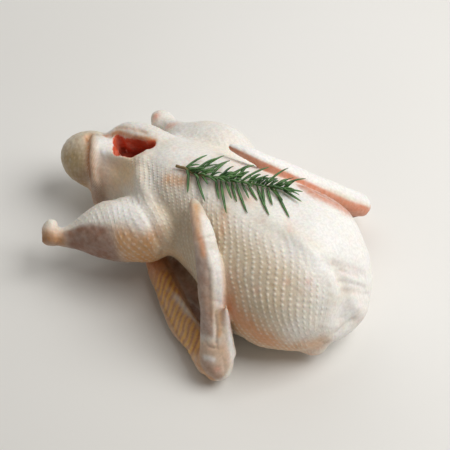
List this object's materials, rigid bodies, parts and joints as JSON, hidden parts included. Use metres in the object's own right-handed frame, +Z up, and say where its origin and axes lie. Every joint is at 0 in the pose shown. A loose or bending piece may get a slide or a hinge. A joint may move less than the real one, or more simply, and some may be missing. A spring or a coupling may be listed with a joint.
{
  "type": "whole raw duck",
  "caption": "Whole plucked raw duck lying on its back, wings folded up against the breast and legs toward the tail, with a rosemary sprig laid on the breast.",
  "frame": {"origin": "middle of the footprint, at the surface that the duck's back rests on", "axes": "+X from the tail to the neck end, +Z up from the back to the breast, +Y to the side of the duck away from the camera in the picture"},
  "size_m": [0.3132, 0.2252, 0.113],
  "materials": {
    "skin": "moist raw plucked skin, cream with pink and tan",
    "leaf": "fresh rosemary needles, satin"
  },
  "bodies": {
    "root": {"duck": "skin", "rosemary": "leaf"}
  },
  "joints": []
}
